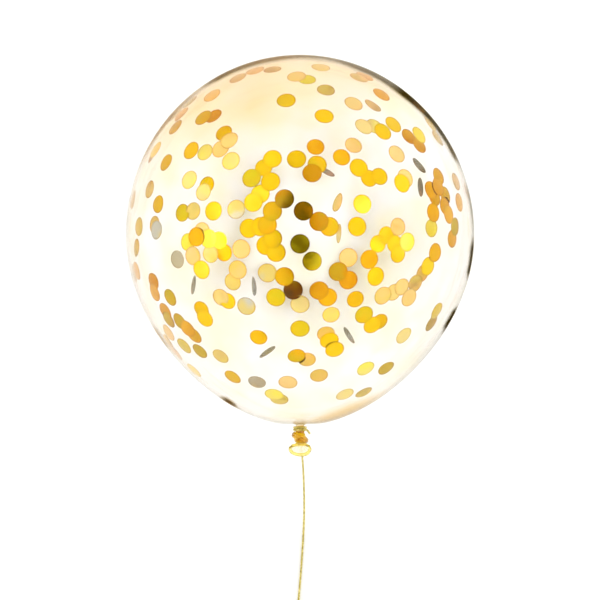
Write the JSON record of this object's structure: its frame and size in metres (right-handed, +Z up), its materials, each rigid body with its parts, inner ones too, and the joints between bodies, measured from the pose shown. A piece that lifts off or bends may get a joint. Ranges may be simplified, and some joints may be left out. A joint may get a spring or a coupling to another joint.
{
  "type": "confetti balloon",
  "caption": "Clear round latex balloon with gold foil confetti inside, knotted at the neck, with a thin gold string, lying on its side.",
  "frame": {"origin": "middle of the small flat spot that the balloon rests on, below its widest section", "axes": "+Y from the neck to the crown, along the balloon's axis, +Z up from the floor, +X across"},
  "size_m": [0.29, 0.5076, 0.2875],
  "materials": {
    "latex": "clear, thin and glossy, pale amber where it is thick at the knot",
    "gold_string": "twisted metallic thread, satin",
    "paper": "matt paper",
    "foil": "mirror-bright gold foil discs, sealed in the balloon and made only in the visual model"
  },
  "bodies": {
    "root": {"balloon": "latex", "string_knot": "gold_string", "string_lead": "gold_string", "string_coil": "gold_string", "coil_tie": "paper"}
  },
  "joints": []
}
